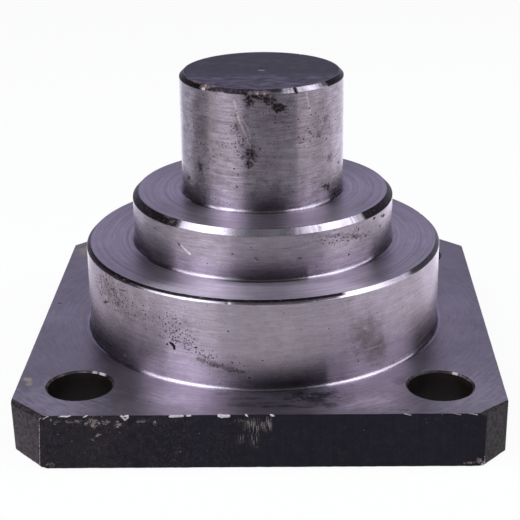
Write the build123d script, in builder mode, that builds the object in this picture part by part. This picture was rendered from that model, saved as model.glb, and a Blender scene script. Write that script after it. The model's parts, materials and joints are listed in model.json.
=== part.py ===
from build123d import *
import os

# Bearing pin, one piece of steel: a square plate with clipped corners and four bolt holes,
# and on it three turned steps on one axis: a locating spigot, a shoulder and the journal.
# Millimetres. The underside of the plate lies on Z = 0, the turned axis is Z,
# and the front of the plate faces -Y.

# Turned steps, from the plate upwards
spigot_diameter = 100.0
spigot_height = 25.0
spigot_chamfer = 1.0
shoulder_diameter = 73.0
shoulder_height = 14.0
shoulder_chamfer = 1.5
journal_diameter = 45.0
journal_height = 33.5
journal_chamfer = 1.1
foot_fillet = 1.0

# Bolt holes, one in each corner of the plate
bolt_diameter = 16.0
bolt_clearance = 1.0
bolt_to_spigot = 16.5
hole_rim_break = 0.5

# Plate
plate_thickness = 15.0
bolt_to_edge = 16.5
front_left_clip = 8.5
front_right_clip = 7.0
rear_clip = 7.5
clip_bevel = 1.0
edge_break = 0.3

bolt_circle_diameter = spigot_diameter + 2 * bolt_to_spigot
bolt_spacing = bolt_circle_diameter / 2**0.5
hole_diameter = bolt_diameter + bolt_clearance
plate_width = bolt_spacing + 2 * bolt_to_edge
turned_steps = (
    (spigot_diameter, spigot_height, spigot_chamfer),
    (shoulder_diameter, shoulder_height, shoulder_chamfer),
    (journal_diameter, journal_height, journal_chamfer),
)


def rings(edges, diameter):
    """The full circles of one diameter that lie level, lowest first."""
    circles = edges.filter_by(GeomType.CIRCLE)
    return circles.filter_by(lambda ring: abs(2 * ring.radius - diameter) < 0.001).sort_by(Axis.Z)


with BuildPart() as bearing_pin:
    # Plate: a square with each corner clipped at 45 degrees
    with BuildSketch() as plate_outline:
        Rectangle(plate_width, plate_width)
        chamfer(plate_outline.vertices().group_by(Axis.Y)[-1], length=rear_clip)
        chamfer(plate_outline.vertices().group_by(Axis.Y)[0].sort_by(Axis.X)[0], length=front_left_clip)
        chamfer(plate_outline.vertices().group_by(Axis.Y)[0].sort_by(Axis.X)[-1], length=front_right_clip)
    extrude(amount=plate_thickness)

    # The front clips are ground back along their upper edge, all other edges are only broken
    upper_edges = bearing_pin.faces().sort_by(Axis.Z)[-1].edges()
    slanted_edges = upper_edges.filter_by(Axis.X, reverse=True).filter_by(Axis.Y, reverse=True)
    chamfer(slanted_edges.sort_by(Axis.Y)[:2], length=clip_bevel)
    upper_edges = bearing_pin.faces().sort_by(Axis.Z)[-1].edges()
    slanted_edges = upper_edges.filter_by(Axis.X, reverse=True).filter_by(Axis.Y, reverse=True)
    chamfer(upper_edges - slanted_edges.sort_by(Axis.Y)[:2], length=edge_break)
    chamfer(bearing_pin.faces().sort_by(Axis.Z)[0].edges(), length=edge_break)

    # Bolt holes, the rim of each broken on both sides
    with Locations(Plane.XY.offset(plate_thickness)):
        with GridLocations(bolt_spacing, bolt_spacing, 2, 2):
            Hole(hole_diameter / 2, depth=plate_thickness)
    chamfer(rings(bearing_pin.edges(), hole_diameter), length=hole_rim_break)

    # Turned steps: each stands on the one below, filleted at its foot and chamfered at its rim
    foot_level = plate_thickness
    for diameter, height, rim_chamfer in turned_steps:
        with BuildSketch(Plane.XY.offset(foot_level)):
            Circle(diameter / 2)
        extrude(amount=height)
        chamfer(rings(bearing_pin.edges(), diameter)[-1], length=rim_chamfer)
        fillet(rings(bearing_pin.edges(), diameter)[0], radius=foot_fillet)
        foot_level += height

bearing_pin.part.label = "bearing_pin"

os.makedirs("parts", exist_ok=True)
export_step(bearing_pin.part, "parts/bearing_pin.step")
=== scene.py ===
import json
import math

import bpy
import numpy as np
from mathutils import Matrix, Vector
from mathutils.geometry import delaunay_2d_cdt


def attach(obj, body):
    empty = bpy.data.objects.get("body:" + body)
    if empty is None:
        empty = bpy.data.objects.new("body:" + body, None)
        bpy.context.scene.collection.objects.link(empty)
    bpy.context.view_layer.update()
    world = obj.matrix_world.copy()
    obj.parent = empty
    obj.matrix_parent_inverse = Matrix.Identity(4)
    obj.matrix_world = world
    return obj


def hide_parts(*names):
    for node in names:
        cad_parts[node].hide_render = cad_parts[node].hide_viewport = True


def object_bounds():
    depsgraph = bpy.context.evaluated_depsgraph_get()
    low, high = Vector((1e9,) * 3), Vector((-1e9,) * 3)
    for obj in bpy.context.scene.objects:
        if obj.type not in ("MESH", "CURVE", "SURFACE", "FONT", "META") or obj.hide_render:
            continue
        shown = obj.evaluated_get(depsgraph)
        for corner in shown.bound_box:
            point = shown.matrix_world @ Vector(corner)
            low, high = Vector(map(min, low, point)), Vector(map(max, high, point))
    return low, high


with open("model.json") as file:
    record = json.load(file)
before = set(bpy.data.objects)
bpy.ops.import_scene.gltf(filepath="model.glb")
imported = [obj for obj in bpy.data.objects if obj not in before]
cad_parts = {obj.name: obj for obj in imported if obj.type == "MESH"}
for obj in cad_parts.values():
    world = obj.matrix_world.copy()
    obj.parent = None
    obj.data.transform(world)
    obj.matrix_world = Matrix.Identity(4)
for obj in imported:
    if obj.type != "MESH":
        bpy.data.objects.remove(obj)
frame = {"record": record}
cad_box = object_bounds()

# Lengths of the steel are in millimetres, and are turned into metres when its mesh is made
MM = 0.001

# Camera: where the photograph was taken from, in metres, degrees and the photograph's pixels
PICTURE_SIDE = 520
CAMERA_PLACE = (0.01045, -0.37725, 0.17934)
CAMERA_PITCH = 21.372
CAMERA_YAW = -0.867
CAMERA_ROLL = -0.386
FOCAL_PIXELS = 1409.5
PICTURE_CENTRE_X = 280

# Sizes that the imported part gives
MOUNTS = {mount["name"]: mount for mount in frame["record"]["mounts"]}
PLATE_HALF = cad_box[1].x / MM
PLATE_TOP = MOUNTS["flange_face"]["pos_m"][2] / MM
PIN_END = cad_box[1].z / MM
HOLE_RADIUS = MOUNTS["bolt_holes"]["dims"]["hole_r_mm"]
HOLE_OFFSET = MOUNTS["bolt_holes"]["dims"]["pcd_mm"] / math.sqrt(8)
RADII = {name: MOUNTS[name]["dims"]["r_mm"] for name in ("spigot", "shoulder", "journal")}

# Turned steps, from the plate upwards: chamfer of each rim, and the roundings and breaks that all share
RIM_CHAMFERS = {"spigot": 1.0, "shoulder": 1.5, "journal": 1.1}
FOOT_FILLET = 1.0
RIM_ROUNDING = 0.15
HOLE_RIM_BREAK = 0.5

# Centre mark in the journal's end: across and down, and how much deeper its point is
CENTRE_MARK = ((2.4, 0.0), (1.3, 0.0), (0.9, 0.12), (0.4, 0.3))
CENTRE_POINT = 0.05

# Knocks in the rims: turn from the front in degrees, half width in degrees, depth
RIM_KNOCKS = {
    "spigot": (
        (-50, 1.5, 0.25), (-46, 1, 0.2), (-23, 1.6, 0.12), (-9, 1.2, 0.1), (17, 0.8, 0.1), (110, 1.5, 0.3),
    ),
    "shoulder": ((-41, 2.2, 0.15), (-37, 1, 0.06), (25, 0.7, 0.08), (43, 1, 0.05), (-150, 2, 0.3)),
    "journal": (
        (-41, 3, 0.3), (-24, 2, 0.12), (-3, 3.5, 0.2), (4, 2.2, 0.2), (25, 1.1, 0.4), (150, 2.5, 0.3),
    ),
}

# Small nicks all round a rim, and how uneven a knock is: depth or share, and how often it changes in degrees
NICKS = (0.02, 1.5)
KNOCK_UNEVENNESS = (0.35, 0.6)
RIM_SEED = 11

# How near to a rim and how far from it a knock reaches, as shares of the chamfer
KNOCK_NEAR, KNOCK_FAR = 0.3, 1.5

# Plate's clips, anticlockwise from the front left: how far each runs along its front or rear side and along
# its left or right side, on the face, at the top of the sides and at their foot
FACE_CLIPS = ((9.8, 8.9), (8.2, 8.2), (8.2, 8.2), (7.1, 7.1))
SIDE_CLIPS = ((8.7, 7.8), (6.3, 8.1), (8.0, 8.0), (6.9, 6.9))
FOOT_CLIPS = ((8.0, 9.0), (6.4, 8.6), (8.0, 8.0), (6.9, 6.9))

# How far the front side leans out of square, as a slope: its left end stands further forward
FRONT_SKEW = 0.0133

# Wear at both ends of each side's upper and lower edge, side by side from the front, and at least everywhere
UPPER_WEAR = ((1.0, 0.9), (1.1, 0.3), (0.3, 0.4), (0.3, 0.3), (0.3, 0.3), (0.4, 0.3), (0.3, 0.5), (1.0, 1.1))
LOWER_WEAR = ((1.3, 0.7), (0.7, 0.4), (0.4, 0.3), (0.3, 0.3), (0.3, 0.3), (0.3, 0.3), (0.3, 0.4), (0.4, 1.3))
INWARD_WEAR = ((0.3, 0.3),) * 8
CORNER_REACH = 2.2
PLAIN_BREAK = 0.22
LEAST_BREAK = 0.05

# Random wear of those edges: depth or share, and how often it changes in millimetres
FINE_WEAR = (0.05, 0.9)
BROAD_WEAR = (0.1, 3.7)
WEAR_UNEVENNESS = (0.12, 0.7)
CHIP_UNEVENNESS = (0.22, 0.45)
PLATE_SEED = 7

# Shape of the worn edges, as shares of their wear: how far inwards, and how far out and how deep their middle
UPPER_INWARD, LOWER_INWARD = 0.6, 0.8
UPPER_BULGE, LOWER_BULGE = 0.12, 0.1
MIDDLE_DEPTH = 0.4

# How bright the wear is: on all upper edges, the front one, its chips, each upright corner, and the knocked
# lower corner with so many points before and after it. The face shows a share of it.
EDGE_SHINE = 0.12
FRONT_SHINE = 0.3
CHIP_SHINE = 1.25
CORNER_SHINE = (0.66, 0.45, 0.3, 0.3, 0.3, 0.3, 0.3, 0.4)
KNOCKED_SHINE = 0.6
KNOCKED_POINTS = (4, 2)
FACE_SHARE = 0.7

# Chips in the plate's upper front edge: place along X, half width, how far in, how far down
FRONT_CHIPS = (
    (-49.4, 0.9, 0.12, 0.05), (-48, 0.5, 0.1, 0.1), (-43.6, 0.4, 0.2, 0.1), (-33.3, 0.7, 0.2, 0.16),
    (-21.6, 0.9, 0.05, 0.25), (-19.7, 1.3, 0.08, 0.24), (-17.4, 0.7, 0.15, 0.05), (-9.5, 0.7, 0.45, 0.3),
    (-8.2, 1.3, 0.12, 0.38), (-2.8, 0.4, 0.25, 0.2), (3.7, 0.5, 0.2, 0.2), (37.9, 0.5, 0.12, 0.04),
    (50.5, 0.3, 0.05, 0.06), (54.6, 0.4, 0.12, 0.1),
)

# Fineness of the mesh: how many points, how far apart, and how far off stand those that hold a rounding
TURNS = 960
ROUNDING_STEPS = 6
RIM_SUPPORT = 2.2
ROUNDING_SUPPORT = 0.6
HOLE_TURNS = 128
FRONT_SPACING = 0.2
CLIP_SPACING = 0.35
REAR_SPACING = 0.8
SIDE_LEVELS = (0.992, 0.75, 0.5, 0.25)

# What counts as inside an opening, as sharp, and as level
JUST_INSIDE = 0.999
SHARP_ANGLE = 24
SLACK = 0.001

# Finishes of the steel, in the order of its materials
SPIGOT, SHOULDER, JOURNAL, TOPS, FACED, END, SIDES, BORES = range(8)
WALLS = {"spigot": SPIGOT, "shoulder": SHOULDER, "journal": JOURNAL}


def smooth_bump(places, middle, half_width):
    """One at the middle, falling smoothly to nothing at the half width."""
    return np.cos(np.clip((places - middle) / half_width, -1, 1) * math.pi / 2) ** 2


def lens(places, middle, half_width):
    """One at the middle, falling like the edge of a lens to nothing at the half width."""
    return np.sqrt(np.clip(1 - ((places - middle) / half_width) ** 2, 0, 1))


def ripple(places, spacing, draw):
    """A random line from -1 to 1, drawn afresh once in each spacing and straight between."""
    first = places.min()
    knots = draw.uniform(-1, 1, int((places.max() - first) / spacing) + 3)
    return np.interp((places - first) / spacing, np.arange(len(knots)), knots)


def uneven(places, wear, draw):
    """A ripple as deep and as broad as a row of wear says."""
    depth, spacing = wear
    return depth * ripple(places, spacing, draw)


class Steel:
    """Vertices and faces of the one mesh, gathered ring by ring."""

    def __init__(self):
        self.points, self.bare, self.faces, self.finishes = [], [], [], []
        self.count = 0

    def ring(self, points, bare=0.0):
        """Adds a closed ring of points and returns their numbers. Bare is how far each is worn bright."""
        points = np.asarray(points, float)
        numbers = np.arange(self.count, self.count + len(points))
        self.points.append(points)
        self.bare.append(np.broadcast_to(bare, len(points)))
        self.count += len(points)
        return numbers

    def bridge(self, lower, upper, finish):
        """Joins two rings of as many points with four-sided faces."""
        quads = np.stack([lower, np.roll(lower, -1), np.roll(upper, -1), upper], axis=1)
        self.faces += quads.tolist()
        self.finishes += [finish] * len(quads)

    def stack(self, levels, finish, bare=None):
        """Adds rings one after another, joined by faces, and returns them."""
        rings = [self.ring(level, 0.0 if bare is None else bare[i]) for i, level in enumerate(levels)]
        for lower, upper in zip(rings, rings[1:]):
            self.bridge(lower, upper, finish)
        return rings

    def fan(self, ring, centre, finish):
        """Closes a ring on one point in its middle."""
        hub = int(self.ring([centre])[0])
        for here, after in zip(ring, np.roll(ring, -1)):
            self.faces.append([int(here), int(after), hub])
            self.finishes.append(finish)

    def level_face(self, outer, openings, finish, upwards):
        """Fills the flat face inside the outer ring and outside each round opening."""
        rings = [outer, *openings]
        places = np.concatenate(self.points)
        numbers = np.concatenate(rings)
        edges, start = [], 0
        for ring in rings:
            edges += [(start + i, start + (i + 1) % len(ring)) for i in range(len(ring))]
            start += len(ring)
        flat = [Vector(places[n][:2]) for n in numbers]
        _, _, triangles, origins, _, _ = delaunay_2d_cdt(flat, edges, [], 1, 1e-5)
        for triangle in triangles:
            corners = [int(numbers[origins[i][0]]) for i in triangle]
            a, b, c = places[corners][:, :2]
            if any(in_opening((a + b + c) / 3, places[opening]) for opening in openings):
                continue
            turns_left = (b[0] - a[0]) * (c[1] - a[1]) > (b[1] - a[1]) * (c[0] - a[0])
            self.faces.append(corners if turns_left == upwards else corners[::-1])
            self.finishes.append(finish)

    def build(self, name, materials):
        mesh = bpy.data.meshes.new(name)
        mesh.from_pydata((np.concatenate(self.points) * MM).tolist(), [], self.faces)
        for material in materials:
            mesh.materials.append(material)
        mesh.polygons.foreach_set("material_index", self.finishes)
        mesh.polygons.foreach_set("use_smooth", [True] * len(self.faces))
        bare = mesh.attributes.new("bare", "FLOAT", "POINT")
        bare.data.foreach_set("value", np.concatenate(self.bare))
        mesh.set_sharp_from_angle(angle=math.radians(SHARP_ANGLE))
        piece = bpy.data.objects.new(name, mesh)
        bpy.context.scene.collection.objects.link(piece)
        return piece


def in_opening(point, loop):
    """Whether a point is within a round opening."""
    middle = loop[:, :2].mean(axis=0)
    return math.dist(point, middle) < math.dist(loop[0, :2], middle) * JUST_INSIDE


def unit(run):
    return run / np.linalg.norm(run)


def rounded(corners):
    """A line of (across, up) through corners (across, up, rounding), held by a point beside each rounding."""
    line = []
    for i, (across, up, rounding) in enumerate(corners):
        here = np.array((across, up))
        if not rounding:
            line.append(here)
            continue
        back, on = (unit(np.array(corners[j][:2]) - here) for j in (i - 1, i + 1))
        half_angle = math.acos(np.clip(back @ on, -1, 1)) / 2
        start = here + back * rounding / math.tan(half_angle)
        end = here + on * rounding / math.tan(half_angle)
        middle = here + unit(back + on) * rounding / math.sin(half_angle)
        support = ROUNDING_SUPPORT * rounding
        line.append(start + back * support)
        count = ROUNDING_STEPS if rounding > RIM_ROUNDING else ROUNDING_STEPS // 2
        for step in range(count + 1):
            chord = start + (end - start) * step / count
            line.append(middle + unit(chord - middle) * rounding)
        line.append(end + on * support)
    return line


def turned_profile():
    """Line of the turned steps, from the plate's face beside the spigot to the journal's centre mark."""
    foot = PLATE_TOP
    corners = [(RADII["spigot"] + 2 * FOOT_FILLET, foot, 0)]
    rims = {}
    for name, chamfer in RIM_CHAMFERS.items():
        mount = MOUNTS[name]
        radius = RADII[name]
        rim = mount["pos_m"][2] / MM + mount["dims"]["length_mm"] / 2 + chamfer
        corners += [
            (radius, foot, FOOT_FILLET),
            (radius, rim - RIM_SUPPORT * chamfer, 0),
            (radius, rim - chamfer, RIM_ROUNDING),
            (radius - chamfer, rim, RIM_ROUNDING),
            (radius - RIM_SUPPORT * chamfer, rim, 0),
        ]
        rims[name] = (radius, rim)
        foot = rim
    corners += [(across, foot - down, 0) for across, down in CENTRE_MARK]
    return rounded(corners), rims


def circle(radius, height, count, middle=(0.0, 0.0)):
    turn = np.linspace(0, 2 * math.pi, count, endpoint=False)
    across, along = middle[0] + radius * np.cos(turn), middle[1] + radius * np.sin(turn)
    return np.stack([across, along, np.full(count, float(height))], axis=1)


def knocked(across, up, rims, dents):
    """A circle of the turned steps. It keeps to its wall or level and gives way where the rim is knocked."""
    level = circle(across, up, TURNS)
    for name, (radius, rim) in rims.items():
        near, far = KNOCK_NEAR * RIM_CHAMFERS[name], KNOCK_FAR * RIM_CHAMFERS[name]
        if abs(across - radius) < near and rim - far < up < rim - near:
            level[:, 2] -= dents[name]
        if abs(up - rim) < near and radius - far < across < radius - near:
            level[:, :2] *= (1 - dents[name] / across)[:, None]
    return level


def rim_dents():
    """How deep each rim is knocked, all round."""
    draw = np.random.default_rng(RIM_SEED)
    level = circle(1, 0, TURNS)
    turn = np.degrees(np.arctan2(level[:, 0], -level[:, 1]))
    places = np.arange(TURNS) * 360 / TURNS
    dents = {}
    for name in RIM_CHAMFERS:
        depth = np.maximum(uneven(places, NICKS, draw), 0)
        share = 1 - KNOCK_UNEVENNESS[0] + uneven(places, KNOCK_UNEVENNESS, draw)
        for middle, half_width, deep in RIM_KNOCKS[name]:
            depth = np.maximum(depth, smooth_bump(turn, middle, half_width) * deep * share)
        depth[-1] = depth[0]
        dents[name] = depth
    return dents


def plate_outline(clips):
    """The clipped plate's corners, anticlockwise from the left end of the front side."""
    corners = []
    signs = ((-1, -1), (1, -1), (1, 1), (-1, 1))
    for i, ((along, beside), (side_x, side_y)) in enumerate(zip(clips, signs)):
        on_front = (side_x * (PLATE_HALF - along), side_y * PLATE_HALF)
        on_side = (side_x * PLATE_HALF, side_y * (PLATE_HALF - beside))
        corners += [on_front, on_side] if i in (1, 3) else [on_side, on_front]
    corners = np.array(corners[1:] + corners[:1])
    front = corners[:, 1] < -PLATE_HALF + 0.01
    corners[front, 1] += FRONT_SKEW * corners[front, 0]
    return corners


def along(corners, counts):
    """Points along an outline, so many on each side."""
    ends = np.roll(corners, -1, axis=0)
    return np.concatenate(
        [start + (end - start) * (np.arange(n) / n)[:, None] for start, end, n in zip(corners, ends, counts)]
    )


def inward_normals(corners, counts):
    """Which way is inwards at each point along an outline. The corners keep to both of their sides."""
    runs = np.roll(corners, -1, axis=0) - corners
    normals = np.column_stack([-runs[:, 1], runs[:, 0]]) / np.linalg.norm(runs, axis=1)[:, None]
    inwards = np.repeat(normals, counts, axis=0)
    before = np.roll(normals, 1, axis=0)
    share = 1 + (normals * before).sum(axis=1)
    inwards[np.cumsum([0] + counts[:-1])] = (normals + before) / share[:, None]
    return inwards


def edge_wear(corners, counts, ends, draw):
    """How far each point of an edge is worn, from the wear at each side's ends. Clips wear all along."""
    wear = []
    for i, ((start, end), count) in enumerate(zip(ends, counts)):
        length = math.dist(corners[i], corners[(i + 1) % len(corners)])
        places = np.arange(count) / count * length
        reach = length if i % 2 else CORNER_REACH
        near = start * np.clip(1 - places / reach, 0, 1) + end * np.clip(1 - (length - places) / reach, 0, 1)
        rough = uneven(places, FINE_WEAR, draw) + np.maximum(uneven(places, BROAD_WEAR, draw), 0)
        wear.append(np.maximum(near, PLAIN_BREAK) * (1 + uneven(places, WEAR_UNEVENNESS, draw)) + rough)
    return np.maximum(np.concatenate(wear), LEAST_BREAK)


def make_plate_sides(steel):
    """Sides of the plate with both worn edges. Returns the rings of its face and underside."""
    draw = np.random.default_rng(PLATE_SEED)
    face, side, foot = (plate_outline(clips) for clips in (FACE_CLIPS, SIDE_CLIPS, FOOT_CLIPS))
    lengths = np.linalg.norm(np.roll(side, -1, axis=0) - side, axis=1)
    spacings = [FRONT_SPACING] + [CLIP_SPACING] + [REAR_SPACING] * 5 + [CLIP_SPACING]
    counts = [int(length / spacing) for length, spacing in zip(lengths, spacings)]
    inwards = inward_normals(side, counts)

    # Wear of the upper edge downwards and inwards, with the front's chips, and of the lower edge upwards
    down = edge_wear(side, counts, UPPER_WEAR, draw)
    inward = UPPER_INWARD * edge_wear(side, counts, INWARD_WEAR, draw)
    edge = along(side, counts)
    bare = np.full(len(edge), EDGE_SHINE)
    front = edge[:, 1] < -PLATE_HALF + 1
    bare[front] = FRONT_SHINE
    share = 1 + uneven(np.arange(len(edge)) * FRONT_SPACING, CHIP_UNEVENNESS, draw)
    for place, half_width, depth_in, depth_down in FRONT_CHIPS:
        chip = front * lens(edge[:, 0], place, half_width) * share
        inward, down = inward + chip * depth_in, down + chip * depth_down
        bare = np.maximum(bare, np.minimum(chip * CHIP_SHINE, 1))
    up = edge_wear(side, counts, LOWER_WEAR, draw)

    face_edge = along(face, counts) + inwards * inward[:, None]
    foot_side = along(foot, counts)
    foot_edge = foot_side + inwards * (up * LOWER_INWARD)[:, None]
    upper_bulge = (face_edge + edge) / 2 - inwards * (UPPER_BULGE * down)[:, None]
    lower_bulge = (foot_side + foot_edge) / 2 - inwards * (LOWER_BULGE * up)[:, None]
    top = PLATE_TOP
    levels = [
        np.column_stack([face_edge, np.full(len(edge), top)]),
        np.column_stack([upper_bulge, top - MIDDLE_DEPTH * down]),
        np.column_stack([edge, top - down]),
    ]
    for share in SIDE_LEVELS:
        flat = foot_side + (edge - foot_side) * share
        levels.append(np.column_stack([flat, up + (top - down - up) * share]))
    levels.append(np.column_stack([foot_side, up]))
    levels.append(np.column_stack([lower_bulge, MIDDLE_DEPTH * up]))
    levels.append(np.column_stack([foot_edge, np.zeros(len(edge))]))

    # The upright corners shine too, and the front side's right one is knocked at its foot
    uprights = np.cumsum([0] + counts[:-1])
    knocked_from, knocked_to = uprights[1] - KNOCKED_POINTS[0], uprights[1] + KNOCKED_POINTS[1]
    worn = [bare * FACE_SHARE, bare, bare] + [np.zeros(len(edge)) for _ in levels[3:]]
    for level in worn[1:]:
        level[uprights] = np.maximum(level[uprights], CORNER_SHINE)
    for level in worn[-3:]:
        level[knocked_from:knocked_to] = KNOCKED_SHINE
    rings = steel.stack(levels, SIDES, worn)
    return rings[0], rings[-1]


def make_holes(steel):
    """Bolt holes from the plate's face to its underside. Returns the rings at both ends."""
    upper, lower = [], []
    bore, bevel = HOLE_RADIUS, HOLE_RIM_BREAK
    rim = bore + bevel
    line = ((rim, PLATE_TOP), (bore, PLATE_TOP - bevel), (bore, PLATE_TOP / 2), (bore, bevel), (rim, 0))
    for side_x in (-1, 1):
        for side_y in (-1, 1):
            middle = (side_x * HOLE_OFFSET, side_y * HOLE_OFFSET)
            rings = steel.stack([circle(*level, HOLE_TURNS, middle) for level in line], BORES)
            upper.append(rings[0])
            lower.append(rings[-1])
    return upper, lower


def make_turned_steps(steel):
    """The three turned steps and the journal's end. Returns the ring where they stand on the plate's face."""
    profile, rims = turned_profile()
    dents = rim_dents()
    rings = [steel.ring(knocked(across, up, rims, dents)) for across, up in profile]
    for lower, upper, (_, low), (across, high) in zip(rings, rings[1:], profile, profile[1:]):
        middle = (low + high) / 2
        if middle < PLATE_TOP + SLACK:
            finish = FACED
        elif across < RADII["journal"] - KNOCK_FAR * RIM_CHAMFERS["journal"]:
            finish = END
        elif low == high:
            finish = TOPS
        else:
            finish = next(WALLS[name] for name, (_, rim) in rims.items() if middle < rim + SLACK)
        steel.bridge(lower, upper, finish)
    steel.fan(rings[-1], (0, 0, PIN_END - CENTRE_MARK[-1][1] - CENTRE_POINT), END)
    return rings[0]


def make_steel(materials):
    steel = Steel()
    spigot_foot = make_turned_steps(steel)
    hole_tops, hole_feet = make_holes(steel)
    face, underside = make_plate_sides(steel)
    steel.level_face(face, [spigot_foot, *hole_tops], FACED, True)
    steel.level_face(underside, hole_feet, SIDES, False)
    return steel.build("bearing_pin_steel", materials)


def sum_of(operation):
    """A method that works out a value with another value or number."""
    return lambda value, other: value.maths(operation, value, other)


class Value:
    """A shader socket that can stand in a sum. The sum adds its Math node."""

    __add__ = __radd__ = sum_of("ADD")
    __sub__ = sum_of("SUBTRACT")
    __mul__ = __rmul__ = sum_of("MULTIPLY")
    __truediv__ = sum_of("DIVIDE")
    most = sum_of("MAXIMUM")
    least = sum_of("MINIMUM")

    def __init__(self, maker, socket):
        self.maker = maker
        self.socket = socket

    def maths(self, operation, *terms):
        return self.maker.node("ShaderNodeMath", {"operation": operation}, dict(enumerate(terms)))

    def __rsub__(self, other):
        return self.maths("SUBTRACT", other, self)

    def __neg__(self):
        return self * -1

    def rise(self, low, high):
        """Nothing up to low, one from high, and a smooth step between. High may be the lower of the two."""
        if high < low:
            return 1 - self.rise(high, low)
        inputs = {"Value": self, "From Min": low, "From Max": high}
        return self.maker.node("ShaderNodeMapRange", {"interpolation_type": "SMOOTHSTEP"}, inputs)

    def between(self, low, high, soft):
        """One from low to high, falling to nothing within soft on each side."""
        return self.rise(low - soft, low) * self.rise(high + soft, high)


class NodeMaker:
    """Adds nodes to one node tree."""

    def __init__(self, tree):
        self.tree = tree

    def node(self, kind, settings=None, inputs=None, output=0):
        made = self.tree.nodes.new(kind)
        for name, value in (settings or {}).items():
            setattr(made, name, value)
        for name, value in (inputs or {}).items():
            if isinstance(value, Value):
                self.tree.links.new(value.socket, made.inputs[name])
            else:
                made.inputs[name].default_value = value
        return Value(self, made.outputs[output])

    def vector(self, operation, first, second=None, output=0, **named):
        inputs = {0: first, **named}
        if second is not None:
            inputs[1] = second
        return self.node("ShaderNodeVectorMath", {"operation": operation}, inputs, output)


# Places of the two colours and of the result among the Mix node's sockets
MIX_FIRST, MIX_SECOND, MIX_RESULT = 6, 7, 2


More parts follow.
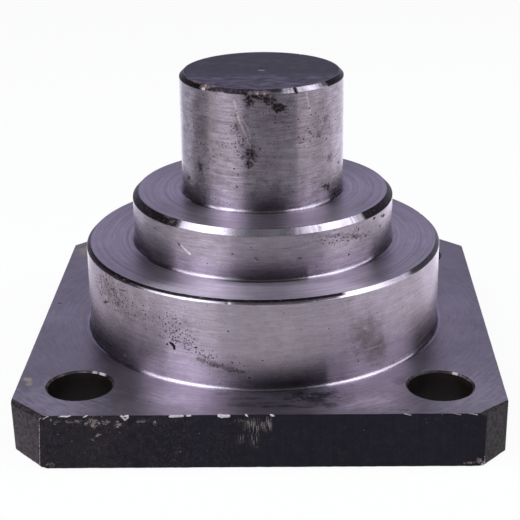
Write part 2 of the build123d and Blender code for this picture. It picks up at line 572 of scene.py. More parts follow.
class Finish(NodeMaker):
    """A material in the making: its nodes, and the places and marks on the steel that they share."""

    def __init__(self, name, **shader):
        self.material = bpy.data.materials.new(name)
        self.material.use_nodes = True
        super().__init__(self.material.node_tree)
        self.shader = self.tree.nodes["Principled BSDF"]
        for socket, value in shader.items():
            self.shader.inputs[socket.replace("_", " ")].default_value = value
        here = self.node("ShaderNodeTexCoord", output="Object")
        self.place = self.vector("SCALE", here, Scale=1 / MM)
        parts = self.node("ShaderNodeSeparateXYZ", {}, {0: self.place})
        self.x, self.y, self.z = (Value(self, parts.socket.node.outputs[axis]) for axis in "XYZ")
        self.radius = self.x.maths("SQRT", self.x * self.x + self.y * self.y)
        self.turn = self.x.maths("ARCTAN2", self.x, -self.y) * (180 / math.pi)

    def mix(self, share, first, second):
        """The first colour where the share is nothing, the second where it is one."""
        inputs = {0: share, MIX_FIRST: first, MIX_SECOND: second}
        return self.node("ShaderNodeMix", {"data_type": "RGBA"}, inputs, MIX_RESULT)

    def shade(self, colour, share):
        """A colour made lighter or darker."""
        grey = self.node("ShaderNodeCombineColor", {}, {0: share, 1: share, 2: share})
        settings = {"data_type": "RGBA", "blend_type": "MULTIPLY"}
        return self.node("ShaderNodeMix", settings, {0: 1.0, MIX_FIRST: colour, MIX_SECOND: grey}, MIX_RESULT)

    def flat(self, across, up):
        """A surface laid out flat, in millimetres."""
        return self.node("ShaderNodeCombineXYZ", {}, {0: across, 1: up})

    def noise(self, grains, detail=2.0, shift=0.0, stretch=(1, 1, 1)):
        """Noise from about 0.3 to 0.7, with so many grains to the millimetre. Each shift gives another."""
        scale = tuple(grains * along for along in stretch)
        grid = self.vector("MULTIPLY", self.place, scale)
        if shift:
            grid = self.vector("ADD", grid, (shift, shift * 0.7, shift * 0.3))
        inputs = {"Vector": grid, "Scale": 1.0, "Detail": detail, "Roughness": 0.6}
        return self.node("ShaderNodeTexNoise", {}, inputs)

    def turning_marks(self, grain, length=0.06, detail=2.0, shift=0.0):
        """Noise drawn out round the axis: so many grains to the millimetre across the turning marks."""
        across = (self.z + self.radius) * grain + shift
        grid = self.node("ShaderNodeCombineXYZ", {}, {0: self.x * length, 1: self.y * length, 2: across})
        return self.node("ShaderNodeTexNoise", {}, {"Vector": grid, "Scale": 1.0, "Detail": detail})

    def blots(self, surface, marks, ragged=0, soft=0.4):
        """The strongest of several spots, ragged and soft at the edge: place and reach, strength and lean."""
        total = 0
        for across, up, wide, high, strength, *lean in marks:
            away = self.vector("SUBTRACT", surface, (across, up, 0))
            if lean:
                inputs = {"Vector": away, "Axis": (0, 0, 1), "Angle": math.radians(-lean[0])}
                away = self.node("ShaderNodeVectorRotate", {}, inputs)
            distance = self.vector("LENGTH", self.vector("MULTIPLY", away, (1 / wide, 1 / high, 0)), output=1)
            total = ((distance + ragged).rise(1 + soft, 1 - soft) * strength).most(total)
        return total

    def scratches(self, surface, lines, ragged):
        """Straight scratches: from across and up to across and up, half width and strength."""
        total = 0
        for start_across, start_up, end_across, end_up, half_width, strength in lines:
            run = Vector((end_across - start_across, end_up - start_up, 0))
            away = self.vector("SUBTRACT", surface, (start_across, start_up, 0))
            reach = self.vector("DOT_PRODUCT", away, run / run.length_squared, output=1).most(0).least(1)
            nearest = self.vector("SCALE", tuple(run), Scale=reach)
            distance = self.vector("LENGTH", self.vector("SUBTRACT", away, nearest), output=1)
            distance = distance + ragged * half_width
            total = (distance.rise(1.5 * half_width, 0.4 * half_width) * strength).most(total)
        return total

    def specks(self, spacing, size, share, shift=0.0):
        """Scattered dots: spacing and size in millimetres, and the share of places that have one."""
        grid = self.vector("SCALE", self.vector("ADD", self.place, (shift, shift, shift)), Scale=1 / spacing)
        inputs = {"Vector": grid, "Scale": 1.0}
        cell = self.node("ShaderNodeTexVoronoi", {}, inputs, "Distance")
        colour = Value(self, cell.socket.node.outputs["Color"])
        red = self.node("ShaderNodeSeparateColor", {}, {0: colour})
        green = Value(self, red.socket.node.outputs[1])
        reach = size / spacing
        return (cell / (green + 0.4)).rise(reach, reach * 0.5) * (share - red).rise(0, 0.02)

    def connect(self, **sockets):
        """Links the shader's sockets and hands back the material."""
        for name, value in sockets.items():
            self.tree.links.new(value.socket, self.shader.inputs[name.replace("_", " ")])
        return self.material

    def fine_specks(self):
        """Dots of dirt all over the steel."""
        return self.specks(1.3, 0.16, 0.1) * 0.7

    def bump(self, height, distance):
        return self.node("ShaderNodeBump", {}, {"Height": height, "Distance": distance * MM, "Strength": 1.0})


# Turned steel spreads what it reflects across its turning marks, not along them
TURNED_SHEEN = {
    "Anisotropic": 0.98,
    "Anisotropic_Rotation": 0.25,
    "Specular_IOR_Level": 0.1,
    "Specular_Tint": (0.86, 0.82, 0.90, 1),
}

# Roughness of each finish before its marks, and depth of its relief in millimetres
TURNED_ROUGHNESS, TURNED_RELIEF = 0.25, 0.012
FACED_DULLNESS = 0.12
END_ROUGHNESS = 0.5
SCALE_ROUGHNESS, SCALE_RELIEF = 0.46, 0.05
BORE_ROUGHNESS, BORE_RELIEF = 0.42, 0.03

# Colours of the steel, as shares of light given back
STEEL = (0.352, 0.302, 0.365, 1)
END_DARK = (0.036, 0.027, 0.048, 1)
CHIPPED = (0.50, 0.41, 0.45, 1)
PEACH = (0.36, 0.25, 0.24, 1)
FLAKED = (0.30, 0.24, 0.235, 1)
SCRATCHED = (0.62, 0.55, 0.60, 1)
STAIN = (0.026, 0.018, 0.022, 1)
RIM_DIRT = (0.013, 0.009, 0.012, 1)
HAZE = (0.120, 0.074, 0.086, 1)
SMUDGE = (0.022, 0.020, 0.034, 1)
SCALE_BLACK = (0.0074, 0.0056, 0.0125, 1)
SCALE_BROWN = (0.028, 0.019, 0.020, 1)
CLIP_BROWN = (0.050, 0.034, 0.046, 1)
BORE_BROWN = (0.0060, 0.0037, 0.0036, 1)
# Painted light: lighter metal on the front halves of the bores
BORE_LIT_FRONT = (0.260, 0.205, 0.250, 1)

# Marks on the turned walls. Stains, hazes and sprays of dots: turn from the front in degrees, height, reach
# across and up in millimetres, strength, and lean in degrees. Pits: turn, height, size. Scratches: turn and
# height of both ends, half width, strength.
STAINS = {
    "spigot": (
        (-17, 22.4, 1.6, 0.6, 0.5, -12), (-13, 21.6, 2.2, 0.7, 0.7, -8), (-9, 20.8, 1.6, 0.6, 0.5, -8),
        (-5.5, 20.3, 0.9, 0.4, 0.7), (-57, 30.2, 1.7, 0.4, 0.9, 22), (-52, 35.5, 0.8, 0.3, 0.5, 20),
        (-47, 36.5, 1.2, 0.3, 0.5, 10),
    ),
    "shoulder": (
        (-35.6, 47.6, 0.8, 0.35, 0.8, -20), (-1.8, 46.6, 0.35, 0.3, 1), (-1, 46, 0.25, 0.25, 0.8),
        (-11, 47.4, 0.3, 0.25, 0.9), (16.5, 45.9, 0.6, 0.2, 0.7), (40, 44.2, 0.3, 0.35, 0.9),
        (65.5, 50.6, 1.3, 0.5, 0.9, -10), (56.6, 51.6, 0.6, 0.3, 0.9), (62, 48.2, 0.5, 0.4, 0.5),
        (-51, 49.9, 0.5, 0.25, 0.6), (33, 50.5, 3.5, 0.5, 0.35, -8), (45, 48.6, 4, 0.6, 0.45, -12),
    ),
    "journal": (
        (-6.2, 70.3, 1.3, 1.9, 1, 10), (-7.6, 67.6, 1.1, 1.3, 1), (-11.5, 69.2, 0.6, 0.6, 0.7),
        (-12, 72.5, 0.6, 0.4, 0.7), (-14, 73.6, 0.4, 0.5, 0.7), (-15.5, 77.4, 0.5, 0.7, 0.8, 20),
        (-16.3, 80.6, 0.5, 0.5, 0.7), (-6.8, 84.7, 1.2, 1.9, 1, 12), (-1, 85.7, 2.8, 0.9, 1),
        (4.5, 85.2, 2.2, 0.9, 1, -10), (8, 83.9, 1.5, 0.7, 0.9, -15), (12.5, 82.8, 2.1, 1.2, 1.1, -20),
        (-46.5, 64.8, 0.9, 1.6, 0.8, 10), (-62.5, 60, 1.2, 0.5, 0.9, 20), (52, 58.4, 1.9, 0.8, 0.9, -25),
        (44, 74.3, 1.2, 0.9, 0.55, 15), (50.5, 77.5, 1, 0.7, 0.4), (56, 66.5, 1.4, 0.7, 0.4, 20),
        (29, 72.6, 1.1, 0.25, 0.6), (-29, 72.8, 1.6, 0.25, 0.4), (69, 63.5, 0.9, 0.4, 0.6),
    ),
}
HAZES = {
    "spigot": (
        (-24, 31.5, 5, 3.5, 0.55), (-21, 27.5, 4, 2.5, 0.45, -30), (-13, 21.5, 6, 2, 0.5, -8),
        (-54, 33.5, 9, 6.5, 0.5), (-40, 33, 9, 5, 0.35), (34, 27, 4.3, 5.5, 0.95, -25),
        (37.5, 22.5, 4.3, 4, 1, -15),
    ),
    "shoulder": ((38, 50, 9, 2.5, 0.4, -8),),
    "journal": (
        (-42, 76, 4, 9, 0.6), (-60, 75, 4, 8, 0.35), (-45, 64, 2, 4, 0.5), (15, 80, 5, 5, 0.6, -35),
        (48, 77, 7, 8, 0.5), (-13, 76, 3, 7, 0.6, 12), (-6, 69.5, 2.5, 3.5, 0.5),
        (3, 85.5, 7, 1.6, 0.6, -5), (54, 60, 6, 3, 0.4),
    ),
}
SPRAYS = {
    "spigot": (
        (-58, 34.8, 5, 3.2, 0.85, 20), (-50, 33.5, 5, 3.5, 0.7, 10), (-40, 31.5, 6, 3, 0.3),
        (-27, 29.5, 3.5, 3.5, 0.9, -20), (-22, 27, 4, 2.2, 0.85, -25), (-16, 24, 4, 1.5, 0.8, -20),
        (-10, 21.5, 5, 1.4, 0.7, -10),
    ),
    "shoulder": ((38, 49.6, 8, 1.6, 0.6, -8),),
    "journal": (
        (-12, 75, 4, 6, 0.35, 15), (40, 76, 6, 6, 0.25, -20), (10, 82, 6, 2.5, 0.35, -15),
        (-45, 70, 5, 7, 0.2),
    ),
}
PITS = {
    "spigot": (
        (-28.9, 25.3, 0.32), (-27.6, 25.9, 0.4), (-27, 25.7, 0.45), (-26.5, 25.2, 0.48),
        (-26.4, 24.6, 0.42), (-19, 26, 0.3), (-9, 31.5, 0.2), (31, 20, 0.2), (-3, 18.6, 0.25),
        (21, 31, 0.15),
    ),
    "shoulder": ((-3.5, 49.5, 0.15), (24, 43, 0.15), (-22, 44, 0.15)),
    "journal": (
        (-18, 66, 0.22), (-15, 64.5, 0.18), (-16, 61, 0.22), (-12.5, 66.8, 0.15), (36, 72.6, 0.2),
    ),
}
SCRATCHES = {
    "spigot": ((-47.3, 17.7, -46.7, 17.4, 0.25, 1), (26, 37.4, 26.6, 36.2, 0.15, 0.4)),
    "shoulder": ((-34.9, 47.6, -33, 46.7, 0.24, 1.4), (-33.2, 46.8, -30.4, 45.7, 0.3, 1.4)),
    "journal": (
        (-17, 84.5, -14.5, 80.2, 0.3, 0.3), (-14.5, 80.2, -10, 76, 0.25, 0.4),
        (-10, 76, -6.5, 71.8, 0.2, 0.4), (-12, 79.6, -8, 77.6, 0.2, 0.3), (-8, 77.6, -6.3, 74.5, 0.2, 0.3),
        (33, 86, 36, 80.5, 0.25, 0.3),
    ),
}

# Chips on the rims, written as stains are, and their dirt: turn from and to, lowest level, strength
CHIPS = {
    "spigot": ((-46.5, 39.5, 0.5, 0.2, 0.5), (-9, 39.9, 1, 0.1, 0.5)),
    "shoulder": (
        (-40.5, 53.3, 0.7, 0.25, 0.5, 20), (-44, 53.8, 1.4, 0.15, 0.6), (26, 53.3, 0.3, 0.5, 0.6),
    ),
    "journal": (
        (-41, 87, 1.5, 0.45, 1, 10), (-50, 87.35, 2.2, 0.12, 0.8), (-60, 87.4, 2.5, 0.1, 0.7),
        (-34, 87.4, 1.2, 0.12, 0.6), (-28, 86.4, 1.6, 0.12, 0.6), (-4, 86.8, 1.6, 0.35, 0.75),
        (1, 86.7, 1.3, 0.4, 0.75), (5, 86.9, 1.2, 0.25, 0.6), (20.5, 87.2, 1.1, 0.2, 0.4),
    ),
}
DIRT = {
    "spigot": ((-200, 25, 39.42, 1), (-6, 23, 39.1, 0.7), (-200, -44, 39.1, 0.9), (55, 200, 39.2, 0.8)),
    "shoulder": ((-200, -43, 52.2, 0.97), (-43, -38, 52.3, 0.94), (51, 200, 52.3, 0.97)),
    "journal": (
        (-200, -45, 86.1, 0.98), (-37, -9, 86.3, 0.95), (-45, 14, 86.8, 0.8), (25.2, 25.2, 86, 0.9),
        (54, 200, 86.2, 0.95), (49, 60, 86.6, 0.6),
    ),
}

# Painted reflection: darker steel colour above the foot of each wall, standing in for dark things it reflects
# there: turn from and to, level of the foot, how high, strength
FOOT_REFLECTIONS = {
    "spigot": (-3, 20, 16, 9, 0.62),
    "shoulder": (-17, 19.5, 41, 5, 0.62),
    "journal": (-7, 16.5, 55, 6, 0.3),
}

# How light and how streaked each wall is, and how grimy
WALL_TONES = {"spigot": (1.12, 0.6, 0.1), "shoulder": (1.02, 0.9, 0.1), "journal": (0.85, 1.2, 0.4)}

# Marks on the plate, written as stains are: on its face and at its holes by X and Y, on its front by X and Z
FACE_SMUDGES = (
    (2, -51, 9, 1, 0.35), (10.5, -52, 2.4, 1.5, 0.9, 20), (16, -52.5, 3, 1.5, 0.9, -10),
    (19.5, -51, 1.4, 1, 0.6), (14.5, -55.5, 2.8, 1.5, 0.8, 15), (18, -58, 2.2, 1.4, 0.7, -10),
    (6, -53.5, 2.5, 0.8, 0.5), (-2, -54.5, 4.5, 0.7, 0.45, 5), (-4, -58.3, 3, 0.8, 0.5),
    (4.5, -58.8, 5, 0.5, 0.75, 3), (11, -59.3, 4, 0.4, 0.5), (-9, -51.8, 2, 0.7, 0.35),
    (37, -44.5, 1.6, 2.2, 0.3, -40), (-42.5, -56, 1.2, 0.4, 0.4, -20), (36.5, -60.8, 1.5, 0.4, 0.4),
    (-28, -56.2, 0.4, 0.25, 0.7), (24, -47, 0.35, 0.3, 1), (-61, 7.6, 0.5, 0.4, 0.9),
)
FACE_FIELDS = (
    (12.5, -53.3, 8.5, 3.2, 1), (18, -51, 3, 2.5, 0.8, 20), (15, -57, 4.5, 2, 0.7, -10),
    (-1, -57.5, 7, 1.2, 0.6, 4), (4, -51, 9, 0.9, 0.6),
)
FACE_WIPED = (
    (29, -56, 5, 3.5, 0.9, 20), (24, -58.5, 4, 1.5, 0.9, 10), (-22, -55, 7, 3, 0.5, -20),
    (-54, -55, 11, 8, 0.7), (56, -50, 8, 12, 0.4),
)
FACE_RUST = (
    (-61.6, -43.6, 1.1, 1.6, 1.3, 25), (-60.6, -46.3, 0.9, 1.1, 0.9), (-58.5, 52, 3, 6, 0.8, -20),
)
# Painted highlights: glints on the bolt holes' rims, by X and Y
RIM_GLINTS = (
    (-42, -39.8, 1.1, 0.7, 1, -35), (-44.2, -38.9, 0.6, 0.5, 0.7, -20), (-38.7, -50.6, 0.5, 0.8, 1),
    (51.6, -39.6, 0.7, 0.7, 1, -30),
)
FRONT_FLAKES = (
    (-45.5, 13.4, 2.4, 0.45, 0.9), (-41.6, 12.9, 1.6, 1.2, 0.95, -10), (-37.8, 13.3, 1.2, 0.6, 0.8, 10),
    (-35.3, 12.4, 1, 0.8, 1.15, 35), (-28.6, 13.4, 1.4, 0.4, 0.9), (-25.9, 12.8, 0.45, 0.8, 1, 20),
    (-51.8, 14, 0.25, 0.4, 1.1), (-50.5, 13, 0.9, 0.5, 0.7, 20), (-40.2, 9.6, 0.8, 0.45, 1.2, 25),
    (-41.6, 8.3, 0.5, 0.4, 1.2, 30), (-46.9, 8.1, 0.25, 0.55, 1.1), (-52.8, 1.2, 0.9, 0.5, 0.8),
    (55.6, 1.6, 0.8, 0.6, 1.2, 20), (53.6, 1, 2.2, 0.3, 0.8, 6),
)
FRONT_FIELDS = (
    (-1, 11.9, 2.2, 1.8, 1), (-1.2, 9.4, 1.3, 3, 0.85), (2.2, 12.4, 1.1, 1.9, 0.9, 10),
    (-4.3, 8.3, 0.7, 1.1, 0.8), (-4.6, 13.4, 1.2, 0.5, 0.6),
)
FRONT_CUTS = (
    (-34.3, 14.9, -33.3, 13.8, 0.22, 1), (-33.3, 13.8, -32.5, 14.6, 0.2, 1),
    (-53.9, 14.2, -52.6, 14.9, 0.14, 0.8),
)


def unrolled(marks, round_it):
    """Marks on a wall laid out flat, their turns made into millimetres round it."""
    return [(turn * round_it, *rest) for turn, *rest in marks]


def bare_steel(finish, cloudiness, streaks):
    """Tone, roughness and relief of steel from the lathe, with fine turning marks, dulled in places."""
    fine = finish.turning_marks(3.2)
    broad = finish.turning_marks(1.3, 0.04, shift=31)
    cloud = finish.noise(0.09, 4)
    mottle = finish.noise(0.7, 4, shift=9)
    short = finish.turning_marks(2.1, 0.22, 3, shift=77) - 0.5
    streak = (short * short * short * 9 + short) * (cloud + 0.4)
    tone = 1 + (fine - 0.5) * 0.35 + (broad - 0.5) * 0.25 + (cloud - 0.5) * cloudiness + (mottle - 0.5) * 0.22
    rough = TURNED_ROUGHNESS + (fine - 0.5) * 0.14 + (mottle - 0.5) * 0.08
    return tone + streak * streaks, rough, fine


def rim_dirt(finish, bands, grain):
    """Dirt burnt into the slope of a rim, down to the lowest level of each band."""
    broken = finish.noise(1.2, 4, shift=83).rise(0.28, 0.44)
    total = 0
    for start, end, lowest, strength in bands:
        band = finish.turn.between(start, end, 2.5) * finish.z.rise(lowest - 0.12, lowest + 0.12) * strength
        total = band.most(total)
    return (total * (1.15 - grain * 0.3) * (broken * 0.35 + 0.65)).least(1)


def painted_foot_reflection(finish, start, end, foot, high, strength):
    """Painted dark reflection that thins out upwards and to the left, and ends sharply at the right."""
    width = finish.turn.rise(start - 9, start + 9) * finish.turn.rise(end + 1.5, end - 0.5)
    return width * finish.z.rise(foot + high, foot) * strength


def turned_wall(step):
    """One turned step with its own stains, pits and scratches, its chipped and dirty rim, and a painted dark
    reflection above its foot.
    """
    finish = Finish(step + "_wall", **TURNED_SHEEN)
    radius = RADII[step]
    lightness, streaks, grime = WALL_TONES[step]
    round_it = math.radians(radius)
    surface = finish.flat(finish.turn * round_it, finish.z)
    kinds = (STAINS, HAZES, SPRAYS, PITS, CHIPS)
    stains, hazes, sprays, pits, chips = (unrolled(kind[step], round_it) for kind in kinds)
    lines = [(start * round_it, low, end * round_it, *rest) for start, low, end, *rest in SCRATCHES[step]]
    tone, rough, fine = bare_steel(finish, 0.3, streaks)
    ragged = (finish.noise(0.9, 4, shift=3) - 0.5) * 3.2
    clumps = finish.noise(1.6, 4, shift=17).rise(0.34, 0.54)
    stain = finish.blots(surface, stains, ragged) * (clumps * 0.7 + 0.3)
    cloudy = finish.noise(0.35, 5, shift=5)
    haze = finish.blots(surface, hazes, ragged * 0.4, soft=0.9) * cloudy.rise(0.3, 0.6)
    haze = haze.most(cloudy.rise(0.42, 0.62) * grime)
    spray = finish.blots(surface, sprays, ragged * 0.4, soft=0.8)
    hole = finish.blots(surface, [(across, up, size, size, 1) for across, up, size in pits], soft=0.15)
    speck = finish.fine_specks()
    crowd = finish.specks(0.5, 0.27, spray * 0.95, shift=40) * 0.9
    crumbs = finish.specks(0.45, 0.17, stain * 0.5 + haze * 0.3, shift=23) * 0.85
    pit = hole.most(speck).most(crowd).most(crumbs)
    grain = finish.noise(2.2, 3, shift=21)
    line = finish.scratches(surface, lines, (grain - 0.5) * 2)
    line = (line * (grain + 0.4)).least(1)
    slope = finish.radius.rise(radius - RIM_CHAMFERS[step] - 0.3, radius - RIM_CHAMFERS[step] - 0.1)
    chip = finish.blots(surface, chips, (grain - 0.5) * 4, soft=0.3)
    chip = chip * finish.noise(3.0, 4, shift=61).rise(0.40, 0.52) * slope
    soil = rim_dirt(finish, DIRT[step], grain) * slope
    foot_reflection = painted_foot_reflection(finish, *FOOT_REFLECTIONS[step])

    # The steel's colour is darkened above the foot by a painted reflection
    colour = finish.mix(haze * 0.7, finish.shade(STEEL, tone * (1 - foot_reflection) * lightness), HAZE)
    colour = finish.mix(stain.least(1), colour, STAIN)
    colour = finish.mix(line, colour, SCRATCHED)
    colour = finish.mix(pit, colour, STAIN)
    colour = finish.mix(soil.most(hole), colour, RIM_DIRT)
    colour = finish.mix(chip, colour, PEACH)
    dull = stain.most(pit).most(soil).least(1)
    return finish.connect(
        Base_Color=colour,
        Metallic=1 - dull * 0.3 - chip * 0.25 - hole * 0.6,
        Roughness=rough + haze * 0.08 + dull * 0.25 + chip * 0.25 + line * 0.1,
        Normal=finish.bump(fine - pit * 2 + line - chip, TURNED_RELIEF),
    )


def turned_tops():
    """Level tops of the spigot and the shoulder, faced with a blunter tool, rougher and painted lighter at
    their front.
    """
    finish = Finish("turned_tops", **TURNED_SHEEN | {"Anisotropic": 0.75, "Metallic": 1.0})
    tone, rough, fine = bare_steel(finish, 0.4, 0.4)
    lines = finish.turning_marks(2.0, 0.02, 3, shift=19)
    speck = finish.fine_specks()
    # The front of the tops is rougher, and lighter in colour: the lighter colour is painted light
    rough_and_lit_front = (-finish.y).rise(34, 42)
    tone = (tone * 1.2 + (lines - 0.5) * 1.3) * (rough_and_lit_front * 0.3 + 1)
    return finish.connect(
        Base_Color=finish.mix(speck, finish.shade(STEEL, tone), STAIN),
        Roughness=rough + FACED_DULLNESS + rough_and_lit_front * 0.12,
        Normal=finish.bump(fine - speck, TURNED_RELIEF),
    )


def plate_face():
    """The plate's upper face, smudged at the front and rusty in places."""
    finish = Finish("plate_face", **TURNED_SHEEN | {"Anisotropic": 0.65})
    surface = finish.flat(finish.x, finish.y)
    tone, rough, fine = bare_steel(finish, 0.6, 0.3)
    streaked = finish.turning_marks(2.0, 0.25, 4, shift=51) - 0.5
    ragged = (finish.noise(0.5, 5, shift=3) - 0.5) * 3.0
    smudge = finish.blots(surface, FACE_SMUDGES, ragged, 0.6) * (streaked * 5 + 1.3).least(1).most(0)
    patchy = finish.noise(0.8, 5, shift=91, stretch=(1, 1.8, 1))
    field = finish.blots(surface, FACE_FIELDS, ragged * 0.6, 0.7) * (patchy + streaked * 0.6).rise(0.44, 0.56)
    smudge = smudge.most(field * 0.9)
    wiped = finish.blots(surface, FACE_WIPED, ragged, 0.8) * (streaked * 4 + 0.8).least(1).most(0)
    rust = finish.blots(surface, FACE_RUST, ragged, 0.5)
    speck = finish.specks(1.6, 0.18, 0.12) * 0.7
    colour = finish.shade(STEEL, tone * 0.9 + streaked * 0.4 + wiped * 0.6)
    colour = finish.mix(smudge.least(0.92), colour, SMUDGE)
    colour = finish.mix(rust, colour, FLAKED)
    colour = finish.mix(speck, colour, STAIN)
    dull = rust.most(speck)
    return finish.connect(
        Base_Color=colour,
        Metallic=1 - dull * 0.5,
        Roughness=rough + FACED_DULLNESS + smudge * 0.06 + dull * 0.3,
        Normal=finish.bump(fine - speck, TURNED_RELIEF),
    )


def journal_end():
    """The dark, dull end of the journal, a little lighter towards the front."""
    finish = Finish("journal_end", Metallic=0.1, Specular_IOR_Level=0.16)
    cloud = finish.noise(0.22, 5)
    mottle = finish.noise(1.2, 3, shift=8)
    marks = finish.turning_marks(2.5)
    wiped = finish.noise(0.9, 5, shift=15, stretch=(0.35, 1, 1)).rise(0.42, 0.62)
    tone = 0.75 + (cloud - 0.5) * 3 + (mottle - 0.5) * 1.5 + (marks - 0.5) * 0.5
    tone = tone + (-finish.y).rise(2, 10) * wiped * 1.6
    centre = finish.radius.rise(1.3, 0.5) * 4
    return finish.connect(
        Base_Color=finish.shade(END_DARK, (tone + centre).most(0.1)),
        Roughness=END_ROUGHNESS + (cloud - 0.5) * 0.8 + (mottle - 0.5) * 0.3,
    )


def plate_sides():
    """Black scale on the plate's sides, flaked, scratched and worn bright at its edges."""
    finish = Finish("plate_sides", Specular_IOR_Level=0.12)
    surface = finish.flat(finish.x, finish.z)
    front = (finish.x * FRONT_SKEW - finish.y).rise(PLATE_HALF - 0.4, PLATE_HALF - 0.2)
    sideways = finish.x.maths("ABSOLUTE", finish.x)
    corner = (sideways - finish.y).rise(2 * PLATE_HALF - 10.1, 2 * PLATE_HALF - 9.8)
    on_clip = corner * (1 - front) * (-finish.y).rise(PLATE_HALF - 20, PLATE_HALF - 10)
    mottle = finish.noise(0.35, 5)
    patches = finish.noise(0.9, 5, shift=13)
    grain = finish.noise(2.4, 4, shift=29)
    strokes = finish.noise(1.0, 3, shift=37, stretch=(3.6, 3.6, 0.35))
    milled = finish.noise(1.0, 2, shift=57, stretch=(1.6, 1.6, 0.04))

    left = finish.x.rise(-12, -45)
    brown = (patches + mottle * 0.5 + left * 0.2).rise(0.72, 1.0)
    colour = finish.shade(SCALE_BLACK, 0.55 + mottle + (milled - 0.5) * 0.8)
    colour = finish.mix(brown * 0.35, colour, SCALE_BROWN)
    dirt = (patches + (grain - 0.5) * 0.3).rise(0.40, 0.58)
    tone = 0.55 - finish.x.rise(-1, 1) * 0.22 + (dirt - 0.5) * 0.6 + (mottle - 0.5) + (grain - 0.5)
    colour = finish.mix(on_clip, colour, finish.shade(CLIP_BROWN, tone))

    ragged = (finish.noise(1.1, 4, shift=3) - 0.5) * 3.0
    fleck = finish.noise(4.5, 3, shift=71)
    flake = (fleck + (patches - 0.5) * 0.6).rise(0.47, 0.62)
    flake = finish.blots(surface, FRONT_FLAKES, ragged, 0.3) * flake
    field = (strokes + (grain - 0.5) * 0.35).rise(0.50, 0.60)
    field = finish.blots(surface, FRONT_FIELDS, ragged * 0.5, 0.6) * field
    dots = finish.specks(2.2, 0.16, 0.30, shift=11) * 0.8
    cut = finish.scratches(surface, FRONT_CUTS, (grain - 0.5) * 3)
    dust = fleck.rise(0.55, 0.70) * finish.x.rise(14, -20) * (patches.rise(0.35, 0.6) * 0.25 + 0.03)
    mark = (flake.most(field * 0.7).most(dots).most(dust) * front).least(1)

    bare = finish.node("ShaderNodeAttribute", {"attribute_name": "bare"}, output="Fac")
    worn = (bare + (grain - 0.5) * 1.1).rise(0.50, 0.64).most(cut * front)
    colour = finish.mix(mark, colour, FLAKED)
    colour = finish.mix(worn, colour, finish.mix((grain + mottle).rise(0.8, 1.2), SCRATCHED, CHIPPED))
    return finish.connect(
        Base_Color=colour,
        Metallic=worn * 0.35,
        Roughness=SCALE_ROUGHNESS + (mottle - 0.5) * 0.3 + (grain - 0.5) * 0.15,
        Normal=finish.bump(grain * 0.5 + patches + mark, SCALE_RELIEF),
    )


def hole_bores():
    """Dark, oily bores with a dim metal rim, painted lighter near their mouths, painted as lit metal on their
    front halves, and with painted glints on their rims.
    """
    finish = Finish("hole_bores", Specular_IOR_Level=0.2)
    mottle = finish.noise(0.4, 4)
    rings = finish.noise(1.0, 2, shift=5, stretch=(0.1, 0.1, 2.5))
    # Painted light: the bore is lighter towards its mouth, where light comes in
    upper = finish.z.rise(PLATE_TOP - 3.0, PLATE_TOP - 0.5)
    colour = finish.shade(BORE_BROWN, 0.5 + mottle + (rings - 0.5) * 0.8 + upper * 2.5 * mottle)
    # Painted light: the front half of each bore is lighter metal, as if lit
    lit_front = (finish.y.maths("SIGN", finish.y) * HOLE_OFFSET - finish.y).rise(0, 5)
    rim_height = finish.z.rise(PLATE_TOP - 1.2 * HOLE_RIM_BREAK, PLATE_TOP - 0.9 * HOLE_RIM_BREAK)
    rim = rim_height * mottle.rise(0.45, 0.7) * 0.5
    # Painted highlights on the rims
    glint = finish.blots(finish.flat(finish.x, finish.y), RIM_GLINTS, (mottle - 0.5) * 2) * rim_height
    metal = lit_front.most(rim)
    colour = finish.mix(glint, finish.mix(metal, colour, BORE_LIT_FRONT), CHIPPED)
    return finish.connect(
        Base_Color=colour,
        Metallic=metal,
        Roughness=BORE_ROUGHNESS + (mottle - 0.5) * 0.3,
        Normal=finish.bump(rings, BORE_RELIEF),
    )


def make_camera():
    data = bpy.data.cameras.new("camera")
    data.sensor_width = 36.0
    data.lens = FOCAL_PIXELS / PICTURE_SIDE * data.sensor_width
    data.shift_x = (PICTURE_SIDE / 2 - PICTURE_CENTRE_X) / PICTURE_SIDE
    data.clip_start = 0.01
    data.clip_end = 20.0
    camera = bpy.data.objects.new("camera", data)
    turn = Matrix.Rotation(math.radians(-CAMERA_YAW), 4, "Z")
    tilt = Matrix.Rotation(math.radians(90 - CAMERA_PITCH), 4, "X")
    roll = Matrix.Rotation(math.radians(CAMERA_ROLL), 4, "Z")
    camera.matrix_world = Matrix.Translation(CAMERA_PLACE) @ turn @ tilt @ roll
    bpy.context.scene.collection.objects.link(camera)
    bpy.context.scene.camera = camera


# Studio, in metres: white paper below, dim light all round, and grey cards and lamps for the steel to show
FLOOR_PAPER = (0.8, 0.8, 0.8, 1)
FLOOR_HALF = 10
FLOOR_DROP = 0.0002
WHITE_SHARE = 0.93
WORLD = (0.03, 0.03, 0.035, 1)
STEEL_MIDDLE = Vector((0, 0, 0.04))

# Cards: grey, and each corner's turn from the front and distance from the axis
CARD_LIFT = 0.0005
CARDS = {
    "front_card": (0.4, ((-25, 0.165), (12, 0.16), (50, 0.165), (50, 1.5), (12, 1.6), (-25, 1.5))),
    "left_card": (0.5, ((-144, 0.15), (-144, 1.5), (-110, 1.5), (-75, 1.5), (-75, 0.19), (-110, 0.15))),
}

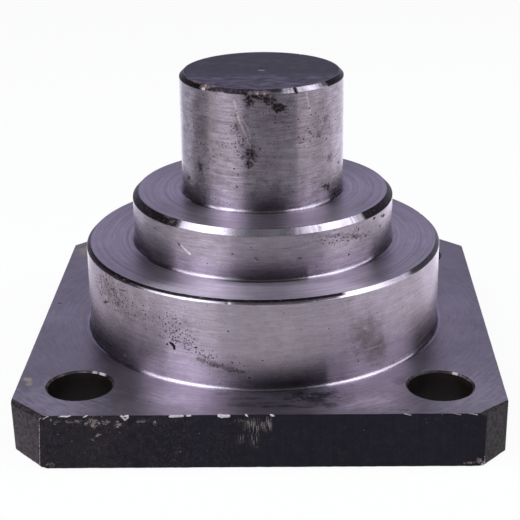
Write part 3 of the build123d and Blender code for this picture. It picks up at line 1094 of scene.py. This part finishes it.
# Lamps that face the steel: turn from the front, rise, distance, width, height and brightness. A lamp with so
# many watts to the square metre looks white.
WHITE_WATTS = 4
LAMP_TINT = (0.92, 0.99, 1.01)
BACK_TINT = (0.97, 1.0, 1.22)
LAMPS = {
    "left_wide": (-52, 32, 0.8, 0.8, 0.62, 1.5),
    "left_box": (-50, 32, 0.8, 0.34, 0.62, 1.5),
    "left_upper": (-74, 56, 0.8, 0.6, 0.3, 3.4),
    "front_fill": (10, 32, 0.8, 0.8, 0.62, 0.05),
    "right_box": (85, 32, 0.8, 0.7, 0.62, 1.6),
    "right_upper": (80, 56, 0.8, 0.62, 0.3, 3.3),
    "upper_fill": (3, 70, 0.8, 0.5, 0.3, 0.5),
    "back_wall": (180, 20, 1.2, 1.35, 0.8, 0.37),
}

# Lamps that lie on the floor and shine upwards: place along X and Y, width, length and brightness
FLOOR_LAMP_LIFT = 0.001
FLOOR_LAMPS = {"back_floor": (0, 0.67, 1.8, 1.2, 0.5), "right_floor": (0.125, 0.085, 0.11, 0.13, 0.3)}


def direction(turn, rise):
    """Unit vector at a turn from the front, to the right, and a rise above level, both in degrees."""
    turn, rise = math.radians(turn), math.radians(rise)
    return Vector((math.sin(turn) * math.cos(rise), -math.cos(turn) * math.cos(rise), math.sin(rise)))


def make_lamp(name, place, backwards, wide, high, brightness, tint):
    """A soft rectangular lamp with its back turned one way."""
    data = bpy.data.lights.new(name, "AREA")
    data.shape = "RECTANGLE"
    data.size, data.size_y = wide, high
    data.color = tint
    data.energy = brightness * WHITE_WATTS * wide * high
    lamp = bpy.data.objects.new(name, data)
    lamp.location = place
    lamp.rotation_euler = backwards.to_track_quat("Z", "Y").to_euler()
    lamp.visible_camera = False
    bpy.context.scene.collection.objects.link(lamp)


def make_lamps():
    for name, (turn, rise, distance, *face) in LAMPS.items():
        towards = direction(turn, rise)
        tint = BACK_TINT if name == "back_wall" else LAMP_TINT
        make_lamp(name, STEEL_MIDDLE + towards * distance, towards, *face, tint)
    for name, (along_x, along_y, *face) in FLOOR_LAMPS.items():
        make_lamp(name, (along_x, along_y, FLOOR_LAMP_LIFT), Vector((0, 0, -1)), *face, LAMP_TINT)


def make_world():
    world = bpy.data.worlds.new("studio")
    bpy.context.scene.world = world
    world.use_nodes = True
    world.node_tree.nodes["Background"].inputs["Color"].default_value = WORLD


def make_stage(name, places, material):
    mesh = bpy.data.meshes.new(name)
    mesh.from_pydata(places, [], [tuple(range(len(places)))])
    mesh.materials.append(material)
    piece = bpy.data.objects.new(name, mesh)
    bpy.context.scene.collection.objects.link(piece)
    return piece


def make_floor():
    """White paper that takes the steel's shadow. It looks white, and the steel shows it as white."""
    material = bpy.data.materials.new("floor")
    material.use_nodes = True
    maker = NodeMaker(material.node_tree)
    paper = maker.node("ShaderNodeBsdfDiffuse", {}, {"Color": FLOOR_PAPER})
    white = maker.node("ShaderNodeEmission")
    rays = ("Is Camera Ray", "Is Glossy Ray", "Is Transmission Ray")
    camera, glossy, clear = (maker.node("ShaderNodeLightPath", output=ray) for ray in rays)
    share = camera.most(glossy).most(clear) * WHITE_SHARE
    surface = maker.node("ShaderNodeMixShader", {}, {0: share, 1: paper, 2: white})
    maker.tree.links.new(surface.socket, maker.tree.nodes["Material Output"].inputs["Surface"])
    half = FLOOR_HALF
    corners = [(-half, -half, 0), (half, -half, 0), (half, half, 0), (-half, half, 0)]
    make_stage("floor", corners, material).location.z = -FLOOR_DROP


def make_card(name, grey, corners):
    """A grey card on the floor, hidden from the camera, for the steel to show."""
    paper = Finish(name, Base_Color=(grey, grey, grey, 1), Roughness=1.0, Specular_IOR_Level=0.0)
    lift = Vector((0, 0, CARD_LIFT))
    card = make_stage(name, [direction(turn, 0) * reach + lift for turn, reach in corners], paper.material)
    card.visible_camera = card.visible_diffuse = card.visible_shadow = False


make_camera()
bpy.context.scene.view_settings.view_transform = "Standard"
make_world()
make_floor()
for name, (grey, corners) in CARDS.items():
    make_card(name, grey, corners)
make_lamps()

walls = [turned_wall(step) for step in WALLS]
finishes = [*walls, turned_tops(), plate_face(), journal_end(), plate_sides(), hole_bores()]
piece = make_steel(finishes)
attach(piece, "root")
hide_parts("bearing_pin")
